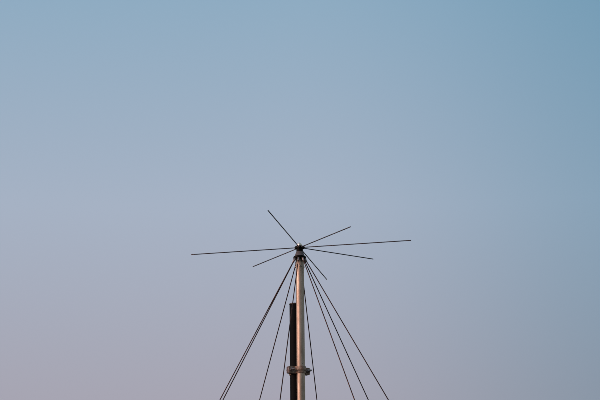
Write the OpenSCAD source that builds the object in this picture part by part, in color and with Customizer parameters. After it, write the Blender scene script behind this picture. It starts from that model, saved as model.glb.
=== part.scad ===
// Wideband discone antenna on a short ground mast, millimetres.
// The origin is the middle of the foot plate's underside, on the mast's axis, and +Z is up.
// The support pipe stands in front of the mast, on its -Y side, held by two saddle clamps.
// Eight rod places go round the head at equal steps from +X. One disc rod is missing.

/* [Mast] */
// Height of the mast's flat top above the ground
mast_h = 2760; // [1500:10:4000]
// Outside diameter of the mast tube
mast_d = 32; // [26:1:50]
// Wall of the mast tube
mast_wall = 2.3; // [1.5:0.1:4]
// Thickness of the plastic lid on the mast's top
mast_lid_t = 3.5; // [2:0.5:6]
// How far the lid's rim stands out past the tube
mast_lid_lip = 0.8; // [0:0.1:2]
// Depth of the lid's plug inside the tube
mast_plug_l = 18; // [10:1:40]
// Wall of the lid's plug
mast_plug_wall = 1.8; // [1.2:0.1:3]

/* [Foot] */
// Side of the square foot plate
foot_side = 180; // [150:5:260]
// Thickness of the foot plate
foot_t = 8; // [5:1:16]
// Corner radius of the foot plate
foot_corner_r = 12; // [4:1:20]
// Distance between neighbouring anchor holes
anchor_spacing = 130; // [120:2:140]
// Diameter of an anchor hole
anchor_hole_d = 12; // [8:1:16]
// Height of a gusset
gusset_h = 64; // [40:2:90]
// Reach of a gusset from the tube
gusset_l = 52; // [35:1:60]
// Thickness of a gusset
gusset_t = 5; // [3:0.5:8]
// Height of a gusset's blunt toe
gusset_toe = 8; // [5:1:14]
// Weld relief cut from a gusset's inner corner
gusset_relief = 7; // [3:1:12]

/* [Support pipe] */
// Outside diameter of the support pipe
pipe_d = 25.4; // [22:0.1:30]
// Wall of the support pipe
pipe_wall = 1.8; // [1.2:0.1:2.5]
// Length of the support pipe
pipe_l = 690; // [560:5:900]
// Rise of the disc rods above the mast's top
head_rise = 173; // [120:1:300]

/* [Clamps] */
// Drop from the mast's top to the middle of the upper clamp
clamp_drop = 213; // [60:1:240]
// Distance between the two clamps
clamp_spacing = 230; // [120:5:260]
// Height of a clamp
clamp_h = 22; // [18:1:34]
// Thickness of the pressed strap
strap_t = 2.5; // [1.5:0.1:3.5]
// Inside radius of the strap's bends
strap_bend_r = 2; // [1:0.5:3]
// Width of the stiffening bead pressed into a strap
bead_w = 8; // [5:0.5:10]
// Height of the stiffening bead
bead_h = 1.2; // [0.6:0.1:2]
// Corner radius of the clamp pieces
ear_corner_r = 4; // [2:0.5:8]
// Reach of a strap's ear from the clamp's middle
ear_reach = 38; // [37:0.5:52]
// Gap between a strap's ears and the centre saddle
ear_gap = 1.1; // [0.5:0.1:2]
// Metal left between the two tubes in the centre saddle
saddle_web = 3; // [2:0.5:6]
// Depth of the centre saddle's seats for the tubes
seat_depth = 2.4; // [1:0.1:3]
// Distance between a clamp's two bolts
bolt_spacing = 60; // [56:1:64]
// Diameter of a clamp bolt
bolt_d = 6; // [5:1:8]
// Length of a clamp bolt under its head
bolt_l = 35; // [32:1:60]

/* [Disc] */
// Diameter of the disc hub
disc_hub_d = 28; // [24:1:40]
// Thickness of the disc hub
disc_hub_t = 8; // [6:0.5:12]
// Diameter of the disc hub's neck
disc_neck_d = 20.6; // [16:0.2:23]
// Length of the disc hub's neck
disc_neck_l = 9.5; // [4:0.5:14]
// Length of the long disc rods from the axis
disc_rod_long = 428; // [300:1:600]
// Length of the middle disc rods from the axis
disc_rod_middle = 350; // [250:1:500]
// Length of the short disc rods from the axis
disc_rod_short = 281; // [150:1:400]
// Depth of a disc rod's threaded hole
disc_hole_l = 7; // [4:0.5:7.5]
// Size across the flats of a disc rod's lock nut
disc_nut_af = 5.5; // [5:0.1:6]
// Height of a disc rod's lock nut
disc_nut_h = 2.4; // [1.6:0.1:4]

/* [Cone] */
// Angle between a cone rod and the vertical
cone_angle = 29; // [20:0.5:36]
// Length of a cone rod outside its hub
cone_rod_l = 850; // [400:5:1000]
// Diameter of a cone rod's threaded root
cone_root_d = 4; // [3:0.1:4.2]
// Depth of a cone rod's threaded hole
cone_hole_l = 6; // [4:0.5:7]
// Diameter of the cone hub
cone_hub_d = 40; // [38:1:48]
// Height of the cone hub's rim
cone_rim_h = 6; // [5.5:0.5:12]
// Height of the slope on the rim's upper edge
cone_slope_h = 2; // [1:0.5:3]
// Radius at which the cone rods leave their hub
cone_rod_r = 16.3; // [16.2:0.1:17]
// Size across the flats of a cone rod's lock nut
cone_nut_af = 7; // [6:0.1:7]
// Height of a cone rod's lock nut
cone_nut_h = 3.2; // [2:0.1:5]
// Diameter of the ferrule at a cone rod's root
ferrule_d = 6; // [5:0.1:6.5]
// Length of the ferrule at a cone rod's root
ferrule_l = 9; // [4:0.5:14]

/* [Rods and head] */
// Diameter of every rod
rod_d = 3; // [2:0.1:4]
// Height of the insulator's cone
insulator_h = 15; // [8:0.5:24]
// Diameter of the insulator's base
insulator_d = 32; // [26:1:34]
// Diameter of the insulator's spigot inside the cone hub
insulator_spigot_d = 16; // [13:0.5:16.5]
// Diameter of the stud through the head
stud_d = 8; // [6:0.5:9]
// Size across the flats of the cap nut on top
cap_af = 13; // [11:0.5:17]
// Height of the cap nut with its dome
cap_h = 12; // [10:0.5:16]
// Height of the cap nut's six flats
cap_flats_h = 6.5; // [5:0.5:8]
// Angle from +X at which the tightened cap nut's flats came to rest
cap_turn = 16; // [0:1:59]
// Length of the cone hub's spigot inside the pipe
spigot_l = 34; // [30:1:50]
// Diameter of a pipe screw
screw_d = 4; // [3:0.5:4]
// Number of pipe screws
screw_count = 4; // [2, 4]
// Drop from the pipe's top to its screws
screw_drop = 24; // [18:1:25]
// Outside diameter of the feed socket's barrel
socket_d = 15.9; // [14:0.1:16.4]
// Length of the feed socket's barrel
socket_l = 18; // [12:1:24]

/* [Fits] */
// Clearance all round a rod, stud or screw in its hole
thread_fit = 0.1; // [0.05:0.01:0.2]
// Clearance all round a plug or spigot in its bore
spigot_fit = 0.1; // [0.05:0.01:0.3]
// Clearance between a tube and its saddle
saddle_fit = 0.15; // [0.05:0.01:0.3]
// Clearance all round a bolt in its hole
bolt_fit = 0.3; // [0.2:0.05:0.6]
// Gap between a gusset and the tube that it is welded to
weld_gap = 0.1; // [0.05:0.01:0.2]

/* [Hidden] */

// Fineness of round surfaces, and of the rods and small screws
$fn = 96;
fine_fn = 32;

// How far a cut runs past the face that it opens
over = 1;

// Tubes
mast_r = mast_d / 2;
mast_bore_r = mast_r - mast_wall;
pipe_r = pipe_d / 2;
pipe_bore_r = pipe_r - pipe_wall;
tube_gap = mast_r + pipe_r + saddle_web;
pipe_y = -tube_gap;

// Heights of the head, from the top down
disc_z = mast_h + head_rise;
disc_top_z = disc_z + disc_hub_t / 2;
disc_under_z = disc_z - disc_hub_t / 2;
insulator_top_z = disc_under_z - disc_neck_l;
cone_top_z = insulator_top_z - insulator_h;
cone_rim_z = cone_top_z - cone_rim_h;
cone_bevel_h = (cone_hub_d / 2 - pipe_r) * tan(cone_angle);
pipe_top_z = cone_rim_z - cone_bevel_h;
pipe_end_z = pipe_top_z - pipe_l;
spigot_end_z = pipe_top_z - spigot_l;

// Rods
STEP = 45;
PLACES = 8;
DISC_RODS = [disc_rod_short, disc_rod_long, disc_rod_short, disc_rod_middle,
    0, disc_rod_long, disc_rod_short, disc_rod_middle];
SCREW_TURN = STEP * 1.5;
hub_flat_half = disc_nut_af * 0.6;
hub_flat_r = sqrt(pow(disc_hub_d / 2, 2) - pow(hub_flat_half, 2));
cone_exit_z = pipe_top_z + (cone_rod_r - pipe_r) * tan(cone_angle);
spot_face_d = cone_nut_af * 1.2;
spot_face_l = 0.3;
hole_end_gap = 0.3;
nut_gap = 0.2;

// Head parts, and the chamfers and small steps on them
stud_hole_r = stud_d / 2 + thread_fit;
cap_end_t = 3;
spigot_bore_r = insulator_spigot_d / 2 + spigot_fit;
nipple_l = 8;
nipple_z = spigot_end_z + nipple_l;
flange_t = 3;
flange_gap = 0.3;
socket_z = spigot_end_z - flange_t - socket_l;
socket_wall = 1.6;
socket_bore_l = 12;
contact_r = 3;
contact_hole_r = 2;
contact_recess = 2;
edge = 0.8;
dome_r = cap_af * 0.45;

// Pan-head screws through the support pipe
screw_head_r = screw_d * 0.9;
screw_head_h = screw_d * 0.5;
screw_tip_gap = 0.4;
screw_z = pipe_top_z - screw_drop;

// Clamp stack along Y, from the pipe's axis at zero
strap_pipe_r = pipe_r + saddle_fit;
strap_mast_r = mast_r + saddle_fit;
saddle_front_y = pipe_r - seat_depth;
saddle_back_y = tube_gap - mast_r + seat_depth;
front_ear_y = saddle_front_y - ear_gap - strap_t;
back_ear_y = saddle_back_y + ear_gap + strap_t;
upper_clamp_z = mast_h - clamp_drop;
lower_clamp_z = upper_clamp_z - clamp_spacing;
bend_lap = 0.5;

// Standard proportions of hexagon bolts, nuts and washers
washer_t = 1.2;
washer_d = bolt_d * 2;
bolt_af = bolt_d * 1.6 + 0.4;
bolt_head_h = bolt_d * 0.66;
bolt_nut_h = bolt_d * 0.83;
head_flat_share = 0.95;

// A plain tube standing on z
module tube(outer_r, inner_r, z, h) {
    translate([0, 0, z])
        difference() {
            cylinder(r = outer_r, h = h);
            translate([0, 0, -over])
                cylinder(r = inner_r, h = h + 2 * over);
        }
}

// Puts its children at one of the eight rod places
module at_place(i) {
    rotate([0, 0, STEP * (i - 1)])
        children();
}

// Puts its children on the support pipe's axis
module on_pipe() {
    translate([0, pipe_y, 0])
        children();
}

// Turns its children so that their +Z runs out along a cone rod, from the hub's bevelled face
module along_cone_rod() {
    translate([cone_rod_r, 0, cone_exit_z])
        rotate([0, 180 - cone_angle, 0])
            children();
}

// A six-sided head with its far corners chamfered at 30 degrees
module hex_head(af, h) {
    top_r = af / 2 * head_flat_share;
    intersection() {
        cylinder(r = af / 2 / cos(30), h = h, $fn = 6);
        cylinder(r1 = top_r + h / tan(30), r2 = top_r, h = h);
    }
}

// A six-sided nut, standing on its seat
module hex_nut(af, h, hole_r) {
    difference() {
        hex_head(af, h);
        translate([0, 0, -over])
            cylinder(r = hole_r, h = h + 2 * over, $fn = fine_fn);
    }
}

module mast_tube() {
    color("#17171b")
        tube(mast_r, mast_bore_r, foot_t, mast_h - mast_lid_t - foot_t);
}

// A moulded lid on the tube's end, with a hollow plug inside it
module mast_lid() {
    rim_r = mast_r + mast_lid_lip;
    plug_r = mast_bore_r - spigot_fit;
    plug_in_r = plug_r - mast_plug_wall;
    color("#1b1b1e")
        translate([0, 0, mast_h - mast_lid_t])
            rotate_extrude()
                polygon([
                    [0, mast_lid_t], [rim_r - edge, mast_lid_t], [rim_r, mast_lid_t - edge], [rim_r, 0],
                    [plug_r, 0], [plug_r, edge - mast_plug_l], [plug_r - edge, -mast_plug_l],
                    [plug_in_r, -mast_plug_l], [plug_in_r, 0], [0, 0]
                ]);
}

module foot_plate() {
    inner = foot_side / 2 - foot_corner_r;
    color("#1a1a1d")
        linear_extrude(height = foot_t)
            difference() {
                union() {
                    square([foot_side, 2 * inner], center = true);
                    square([2 * inner, foot_side], center = true);
                    for (sx = [-1, 1], sy = [-1, 1])
                        translate([sx * inner, sy * inner])
                            circle(r = foot_corner_r);
                }
                for (sx = [-1, 1], sy = [-1, 1])
                    translate([sx * anchor_spacing / 2, sy * anchor_spacing / 2])
                        circle(d = anchor_hole_d);
            }
}

// Four webs welded between the tube and the foot plate
module gussets() {
    top = foot_t + gusset_h;
    color("#1a1a1d")
        difference() {
            for (i = [0:3])
                rotate([0, 0, 90 * i])
                    translate([0, gusset_t / 2, 0])
                        rotate([90, 0, 0])
                            linear_extrude(height = gusset_t)
                                polygon([
                                    [mast_r - over, foot_t + gusset_relief + over],
                                    [mast_r + gusset_relief, foot_t],
                                    [mast_r + gusset_l, foot_t],
                                    [mast_r + gusset_l, foot_t + gusset_toe],
                                    [mast_r + gusset_toe, top],
                                    [mast_r - over, top]
                                ]);
            cylinder(r = mast_r + weld_gap, h = top + over);
        }
}

// Drills the pipe screws' holes, or makes their shanks, from r_in outwards
module screw_shanks(r, r_in, r_out) {
    for (i = [0:screw_count - 1])
        rotate([0, 0, SCREW_TURN + 360 / screw_count * i])
            translate([r_in, 0, screw_z])
                rotate([0, 90, 0])
                    cylinder(r = r, h = r_out - r_in, $fn = fine_fn);
}

module support_pipe() {
    color("#b4a79a")
        on_pipe()
            difference() {
                tube(pipe_r, pipe_bore_r, pipe_end_z, pipe_l);
                screw_shanks(screw_d / 2 + thread_fit, pipe_bore_r - over, pipe_r + over);
            }
}

// Pan-head screws through the pipe's wall into the cone hub's spigot
module pipe_screws() {
    color("#8f8f8c")
        on_pipe()
            union() {
                screw_shanks(screw_d / 2, spigot_bore_r + screw_tip_gap, pipe_r + screw_head_h / 2);
                for (i = [0:screw_count - 1])
                    rotate([0, 0, SCREW_TURN + 360 / screw_count * i])
                        translate([pipe_r, 0, screw_z])
                            rotate([0, 90, 0])
                                cylinder(r1 = screw_head_r, r2 = screw_head_r * 0.7, h = screw_head_h,
                                    $fn = fine_fn);
            }
}

// The corner between a square and its round, for a bend of the given radius.
// It lies on -X and +Y of the bend's centre, and runs a little into its neighbours.
module bend_corner(r) {
    difference() {
        translate([-r - bend_lap, 0])
            square(r + bend_lap);
        circle(r = r);
    }
}

// Outline of a pressed strap round a tube of radius r at the origin, open towards +Y.
// Its ears run outwards at ear_y, and both faces of the sheet follow each bend.
module strap_outline(r, ear_y) {
    outer = r + strap_t;
    difference() {
        union() {
            circle(r = outer);
            translate([-outer, 0])
                square([2 * outer, ear_y + strap_t]);
            translate([-ear_reach, ear_y])
                square([2 * ear_reach, strap_t]);
            for (side = [0, 1])
                mirror([side, 0])
                    translate([outer + strap_bend_r, ear_y - strap_bend_r])
                        bend_corner(strap_bend_r);
        }
        circle(r = r);
        translate([-r, 0])
            square([2 * r, ear_y + strap_t + over]);
        for (side = [0, 1])
            mirror([side, 0])
                translate([outer + strap_bend_r, ear_y - strap_bend_r])
                    bend_corner(strap_bend_r + strap_t);
    }
}

// The face of a clamp piece, with round corners, drawn along Y from y0 to y1
module clamp_face(y0, y1) {
    w = ear_reach - ear_corner_r;
    h = clamp_h / 2 - ear_corner_r;
    translate([0, y0, 0])
        rotate([-90, 0, 0])
            linear_extrude(height = y1 - y0)
                union() {
                    square([2 * ear_reach, 2 * h], center = true);
                    square([2 * w, clamp_h], center = true);
                    for (sx = [-1, 1], sz = [-1, 1])
                        translate([sx * w, sz * h])
                            circle(r = ear_corner_r);
                }
}

// Bolt holes along Y at both sides of a clamp
module bolt_holes(r, y0, y1) {
    for (side = [-1, 1])
        translate([side * bolt_spacing / 2, y0, 0])
            rotate([-90, 0, 0])
                cylinder(r = r, h = y1 - y0, $fn = fine_fn);
}

// A ring round the tube that swells a strap by the bead's height, with sloping sides
module bead_ring(r) {
    rotate_extrude()
        polygon([
            [r - over, -bead_w / 2], [r, -bead_w / 2], [r + bead_h, bead_h - bead_w / 2],
            [r + bead_h, bead_w / 2 - bead_h], [r, bead_w / 2], [r - over, bead_w / 2]
        ]);
}

// The half of space in front of the tube's axis, where the bead runs
module front_half(size) {
    translate([-size, -2 * size, -size])
        cube([2 * size, 2 * size, 2 * size]);
}

// A whole strap, cut to the clamp's face, beaded round its bend and drilled for the bolts
module strap(r, ear_y) {
    outer = r + strap_t;
    difference() {
        union() {
            intersection() {
                translate([0, 0, -clamp_h / 2])
                    linear_extrude(height = clamp_h)
                        strap_outline(r, ear_y);
                clamp_face(-outer - over, ear_y + strap_t + over);
            }
            intersection() {
                bead_ring(outer);
                front_half(outer + bead_h + over);
            }
        }
        intersection() {
            bead_ring(r);
            front_half(outer);
        }
        bolt_holes(bolt_d / 2 + bolt_fit, ear_y - over, ear_y + strap_t + over);
    }
}

module front_strap(z) {
    color("#7d5a40")
        on_pipe()
            translate([0, 0, z])
                strap(strap_pipe_r, front_ear_y);
}

module back_strap(z) {
    color("#75563f")
        translate([0, 0, z])
            rotate([0, 0, 180])
                strap(strap_mast_r, tube_gap - back_ear_y);
}

// A cast block with a round seat for each tube
module centre_saddle(z) {
    color("#6b5a4c")
        on_pipe()
            translate([0, 0, z])
                difference() {
                    clamp_face(saddle_front_y, saddle_back_y);
                    translate([0, 0, -clamp_h])
                        cylinder(r = strap_pipe_r, h = 2 * clamp_h);
                    translate([0, tube_gap, -clamp_h])
                        cylinder(r = strap_mast_r, h = 2 * clamp_h);
                    bolt_holes(bolt_d / 2 + bolt_fit, saddle_front_y - over, saddle_back_y + over);
                }
}

// Puts its children at both bolts, with +Z running forwards from the back ears
module at_bolts(z, y) {
    on_pipe()
        for (side = [-1, 1])
            translate([side * bolt_spacing / 2, y, z])
                rotate([90, 0, 0])
                    children();
}

module clamp_bolts(z) {
    head_y = back_ear_y + washer_t;
    color("#8c8a86")
        at_bolts(z, head_y) {
            cylinder(r = bolt_d / 2, h = bolt_l - edge, $fn = fine_fn);
            translate([0, 0, bolt_l - edge])
                cylinder(r1 = bolt_d / 2, r2 = bolt_d / 2 - edge, h = edge, $fn = fine_fn);
            mirror([0, 0, 1])
                hex_head(bolt_af, bolt_head_h);
        }
}

module clamp_nuts(z) {
    color("#8c8a86")
        at_bolts(z, front_ear_y - washer_t)
            hex_nut(bolt_af, bolt_nut_h, bolt_d / 2 + thread_fit);
}

module clamp_washers(z) {
    color("#9a9894")
        for (y = [front_ear_y, back_ear_y + washer_t])
            at_bolts(z, y)
                difference() {
                    cylinder(d = washer_d, h = washer_t, $fn = fine_fn);
                    translate([0, 0, -over])
                        cylinder(r = bolt_d / 2 + thread_fit, h = washer_t + 2 * over, $fn = fine_fn);
                }
}

// A domed cap nut with a blind hole for the stud
module cap_nut() {
    color("#d9cfca")
        on_pipe()
            translate([0, 0, disc_top_z])
                difference() {
                    union() {
                        rotate([0, 0, cap_turn - 30])
                            hex_head(cap_af, cap_flats_h);
                        cylinder(r = dome_r, h = cap_h - dome_r);
                        translate([0, 0, cap_h - dome_r])
                            sphere(r = dome_r);
                    }
                    translate([0, 0, -dome_r])
                        cylinder(r = dome_r + edge, h = dome_r);
                    translate([0, 0, -over])
                        cylinder(r = stud_hole_r, h = cap_h - cap_end_t + over, $fn = fine_fn);
                }
}

// The conductor from the cap nut down to the feed socket
module centre_stud() {
    bottom = nipple_z + hole_end_gap;
    top = disc_top_z + cap_h - cap_end_t - hole_end_gap;
    r = stud_d / 2;
    color("#a8a49c")
        on_pipe()
            rotate_extrude()
                polygon([
                    [0, bottom], [r - edge, bottom], [r, bottom + edge],
                    [r, top - edge], [r - edge, top], [0, top]
                ]);
}

// A turned disc with a neck, a flat and a threaded hole at each of the eight rod places
module disc_hub() {
    r = disc_hub_d / 2;
    color("#0e0e12")
        on_pipe()
            difference() {
                intersection() {
                    rotate_extrude()
                        polygon([
                            [stud_hole_r, insulator_top_z], [disc_neck_d / 2, insulator_top_z],
                            [disc_neck_d / 2, disc_under_z], [r - edge, disc_under_z],
                            [r, disc_under_z + edge], [r, disc_top_z - edge],
                            [r - edge, disc_top_z], [stud_hole_r, disc_top_z]
                        ]);
                    translate([0, 0, insulator_top_z - over])
                        rotate([0, 0, STEP / 2])
                            cylinder(r = hub_flat_r / cos(STEP / 2),
                                h = disc_top_z - insulator_top_z + 2 * over, $fn = PLACES);
                }
                for (i = [1:PLACES])
                    at_place(i)
                        translate([hub_flat_r - disc_hole_l, 0, disc_z])
                            rotate([0, 90, 0])
                                cylinder(r = rod_d / 2 + thread_fit, h = disc_hole_l + over, $fn = fine_fn);
            }
}

// A moulded cone with a bore for the stud and a long spigot inside the cone hub
module insulator() {
    bottom = nipple_z + hole_end_gap;
    neck_r = disc_neck_d / 2;
    base_r = insulator_d / 2;
    spigot_r = insulator_spigot_d / 2;
    color("#4b484b")
        on_pipe()
            rotate_extrude()
                polygon([
                    [stud_hole_r, insulator_top_z], [neck_r, insulator_top_z],
                    [neck_r + edge, insulator_top_z - edge],
                    [base_r, cone_top_z + 2 * edge], [base_r, cone_top_z],
                    [spigot_r, cone_top_z], [spigot_r, bottom], [stud_hole_r, bottom]
                ]);
}

// A dark turned hub: a rim, a bevel that the cone rods leave squarely, and a spigot in the pipe
module cone_hub() {
    r = cone_hub_d / 2;
    spigot_r = pipe_bore_r - spigot_fit;
    color("#131313")
        on_pipe()
            difference() {
                rotate_extrude()
                    polygon([
                        [spigot_bore_r, cone_top_z], [r - cone_slope_h, cone_top_z],
                        [r, cone_top_z - cone_slope_h], [r, cone_rim_z],
                        [pipe_r, pipe_top_z], [spigot_r, pipe_top_z],
                        [spigot_r, spigot_end_z], [spigot_bore_r, spigot_end_z]
                    ]);
                for (i = [1:PLACES])
                    at_place(i)
                        along_cone_rod() {
                            translate([0, 0, -cone_hole_l])
                                cylinder(r = cone_root_d / 2 + thread_fit, h = cone_hole_l + over,
                                    $fn = fine_fn);
                            translate([0, 0, -spot_face_l])
                                cylinder(d = spot_face_d, h = spot_face_l + over, $fn = fine_fn);
                        }
                screw_shanks(screw_d / 2 + thread_fit, spigot_bore_r - over, pipe_bore_r + over);
            }
}

// The feed socket: a nipple in the cone hub, a flange under it and an open barrel below
module feed_socket() {
    nipple_r = spigot_bore_r - spigot_fit;
    flange_r = pipe_bore_r - flange_gap;
    barrel_r = socket_d / 2;
    bore_r = barrel_r - socket_wall;
    flange_z = spigot_end_z - flange_t;
    bore_end_z = socket_z + socket_bore_l;
    contact_z = socket_z + contact_recess;
    color("#b9b3a6")
        on_pipe()
            rotate_extrude()
                polygon([
                    [0, nipple_z], [nipple_r, nipple_z], [nipple_r, spigot_end_z],
                    [flange_r, spigot_end_z], [flange_r, flange_z], [barrel_r, flange_z],
                    [barrel_r, socket_z], [bore_r, socket_z], [bore_r, bore_end_z],
                    [contact_r, bore_end_z], [contact_r, contact_z], [contact_hole_r, contact_z],
                    [contact_hole_r, bore_end_z], [0, bore_end_z]
                ]);
}

// A rod along +Z from its root below zero to its round tip
module rod(root_l, length) {
    r = rod_d / 2;
    translate([0, 0, -root_l])
        cylinder(r = r, h = root_l + length - r, $fn = fine_fn);
    translate([0, 0, length - r])
        sphere(r = r, $fn = fine_fn);
}

// Puts its children on a disc rod's axis, with +Z running out from the hub's flat
module along_disc_rod() {
    translate([hub_flat_r, 0, disc_z])
        rotate([0, 90, 0])
            children();
}

module disc_rod(i) {
    color("#1b1d27")
        on_pipe()
            at_place(i)
                along_disc_rod()
                    rod(disc_hole_l - hole_end_gap, DISC_RODS[i - 1] - hub_flat_r);
}

// A cone rod: a thicker threaded root, a ferrule with a chamfered end, and the thin rod
module cone_rod(i) {
    root_l = cone_hole_l - hole_end_gap;
    ferrule_z = cone_nut_h - spot_face_l + nut_gap;
    color("#22202a")
        on_pipe()
            at_place(i)
                along_cone_rod() {
                    rod(root_l, cone_rod_l);
                    translate([0, 0, -root_l])
                        cylinder(d = cone_root_d, h = root_l + ferrule_z + edge, $fn = fine_fn);
                    translate([0, 0, ferrule_z])
                        cylinder(d = ferrule_d, h = ferrule_l - edge, $fn = fine_fn);
                    translate([0, 0, ferrule_z + ferrule_l - edge])
                        cylinder(d1 = ferrule_d, d2 = ferrule_d - 2 * edge, h = edge, $fn = fine_fn);
                }
}

module disc_lock_nuts() {
    color("#2a2a30")
        on_pipe()
            for (i = [1:PLACES])
                if (DISC_RODS[i - 1] > 0)
                    at_place(i)
                        along_disc_rod()
                            hex_nut(disc_nut_af, disc_nut_h, rod_d / 2 + thread_fit);
}

module cone_lock_nuts() {
    color("#2a2a30")
        on_pipe()
            for (i = [1:PLACES])
                at_place(i)
                    along_cone_rod()
                        translate([0, 0, -spot_face_l])
                            rotate([0, 0, 30])
                                hex_nut(cone_nut_af, cone_nut_h, cone_root_d / 2 + thread_fit);
}

mast_tube();
mast_lid();
foot_plate();
gussets();
support_pipe();
pipe_screws();
front_strap(upper_clamp_z);  // upper_front_strap
centre_saddle(upper_clamp_z);  // upper_centre_saddle
back_strap(upper_clamp_z);  // upper_back_strap
clamp_bolts(upper_clamp_z);  // upper_bolts
clamp_nuts(upper_clamp_z);  // upper_nuts
clamp_washers(upper_clamp_z);  // upper_washers
front_strap(lower_clamp_z);  // lower_front_strap
centre_saddle(lower_clamp_z);  // lower_centre_saddle
back_strap(lower_clamp_z);  // lower_back_strap
clamp_bolts(lower_clamp_z);  // lower_bolts
clamp_nuts(lower_clamp_z);  // lower_nuts
clamp_washers(lower_clamp_z);  // lower_washers
cap_nut();
centre_stud();
disc_hub();
insulator();
cone_hub();
feed_socket();
disc_lock_nuts();
cone_lock_nuts();
disc_rod(1);  // disc_rod_1
disc_rod(2);  // disc_rod_2
disc_rod(3);  // disc_rod_3
disc_rod(4);  // disc_rod_4
disc_rod(6);  // disc_rod_6
disc_rod(7);  // disc_rod_7
disc_rod(8);  // disc_rod_8
cone_rod(1);  // cone_rod_1
cone_rod(2);  // cone_rod_2
cone_rod(3);  // cone_rod_3
cone_rod(4);  // cone_rod_4
cone_rod(5);  // cone_rod_5
cone_rod(6);  // cone_rod_6
cone_rod(7);  // cone_rod_7
cone_rod(8);  // cone_rod_8
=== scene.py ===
"""A discone antenna on a plain tubular ground mast.

After the view and the studio, the file follows the mast as it is put together, from the foot to the cap
nut. Lengths are in metres.
"""

import math

import bmesh
import bpy
import numpy as np
from mathutils import Matrix, Vector


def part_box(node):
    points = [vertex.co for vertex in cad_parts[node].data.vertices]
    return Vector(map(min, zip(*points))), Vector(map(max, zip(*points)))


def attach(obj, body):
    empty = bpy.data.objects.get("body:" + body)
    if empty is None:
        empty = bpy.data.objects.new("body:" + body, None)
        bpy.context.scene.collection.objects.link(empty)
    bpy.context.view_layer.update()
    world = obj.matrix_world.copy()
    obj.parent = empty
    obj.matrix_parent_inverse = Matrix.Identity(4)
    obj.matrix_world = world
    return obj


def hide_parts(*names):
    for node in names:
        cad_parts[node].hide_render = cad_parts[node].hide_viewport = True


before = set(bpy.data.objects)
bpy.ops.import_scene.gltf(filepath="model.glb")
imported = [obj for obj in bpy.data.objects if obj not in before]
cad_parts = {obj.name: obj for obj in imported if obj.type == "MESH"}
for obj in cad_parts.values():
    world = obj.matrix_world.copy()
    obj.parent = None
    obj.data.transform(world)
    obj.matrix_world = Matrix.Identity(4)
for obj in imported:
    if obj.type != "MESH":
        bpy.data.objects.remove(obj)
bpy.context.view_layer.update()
MM = 0.001


# The view. The photograph was taken from below with a long lens, a third of the way round from the front
# to the left, with the antenna's head a little under the middle of the picture. The pixel filter is
# narrow, to keep the thin rods crisp.
def span(node):
    """A node's lowest and highest corner, as arrays."""
    low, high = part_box(node)
    return np.array(low), np.array(high)


pipe_low, pipe_high = span("support_pipe")
pipe_y = (pipe_low[1] + pipe_high[1]) / 2
rod_low, rod_high = span("disc_rod_1")
disc_z = (rod_low[2] + rod_high[2]) / 2

camera_distance = 5.175
camera_bearing = math.radians(-122.89)
camera_drop = math.radians(14.89)
camera_tilt = math.radians(16.53)
camera_pan = math.radians(-0.03)
camera_roll = math.radians(-0.56)
image_width = 600
focal_pixels = 1661
sensor_width = 36
pixel_filter = 0.75

camera_data = bpy.data.cameras.new("camera")
camera_data.sensor_width = sensor_width
camera_data.lens = sensor_width * focal_pixels / image_width
camera = bpy.data.objects.new("camera", camera_data)
bpy.context.scene.collection.objects.link(camera)
bpy.context.scene.camera = camera
camera_offset = camera_distance * Vector((
    math.cos(camera_drop) * math.cos(camera_bearing),
    math.cos(camera_drop) * math.sin(camera_bearing),
    -math.sin(camera_drop),
))
camera.matrix_world = (
    Matrix.Translation(Vector((0, pipe_y, disc_z)) + camera_offset)
    @ Matrix.Rotation(camera_bearing + camera_pan + math.pi / 2, 4, "Z")
    @ Matrix.Rotation(math.pi / 2 + camera_tilt, 4, "X")
    @ Matrix.Rotation(camera_roll, 4, "Z")
)
camera_right = camera.matrix_world.to_3x3().col[0]
bpy.context.scene.cycles.filter_width = pixel_filter


# The studio. A plain backdrop fades from mauve grey to pale blue over a plain pale floor, a little darker
# on the right. A broad warm lamp stands low on the left, a cool one hangs overhead, and the room that the
# metal mirrors is grey, darker at the floor and paler at the ceiling.
def linear(colour):
    """An sRGB hex colour, such as "a0b0c0", as linear red, green, blue and alpha."""
    srgb = np.array([int(colour[i:i + 2], 16) for i in (0, 2, 4)]) / 255
    red, green, blue = np.where(srgb <= 0.04045, srgb / 12.92, ((srgb + 0.055) / 1.055) ** 2.4)
    return red, green, blue, 1.0


def add(finish, kind, sockets=None, stops=(), **settings):
    """Adds one shader node to a material or world, with its settings and a colour ramp's stops.

    A socket takes a number, a hex colour, another node's output, or a node for its first output.
    """
    node = finish.node_tree.nodes.new("ShaderNode" + kind)
    for name, value in settings.items():
        setattr(node, name, value)
    for name, value in (sockets or {}).items():
        if isinstance(value, bpy.types.Node):
            value = value.outputs[0]
        if isinstance(value, bpy.types.NodeSocket):
            finish.node_tree.links.new(value, node.inputs[name])
        else:
            node.inputs[name].default_value = linear(value) if isinstance(value, str) else value
    for number, (position, colour) in enumerate(stops):
        if number > 1:
            node.color_ramp.elements.new(position)
        node.color_ramp.elements[number].position = position
        node.color_ramp.elements[number].color = linear(colour)
    return node


def add_lamp(name, strength, colour, softness, height, bearing, mirrored=True):
    """A distant lamp, with its height above the horizon, its bearing round the mast and its light's
    softness in degrees. One that isn't mirrored doesn't show in the metal."""
    lamp = bpy.data.lights.new(name, "SUN")
    lamp.energy = strength
    lamp.color = linear(colour)[:3]
    lamp.angle = math.radians(softness)
    holder = bpy.data.objects.new(name, lamp)
    holder.rotation_euler = (0, math.radians(90 - height), math.radians(bearing))
    holder.visible_glossy = mirrored
    bpy.context.scene.collection.objects.link(holder)


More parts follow.
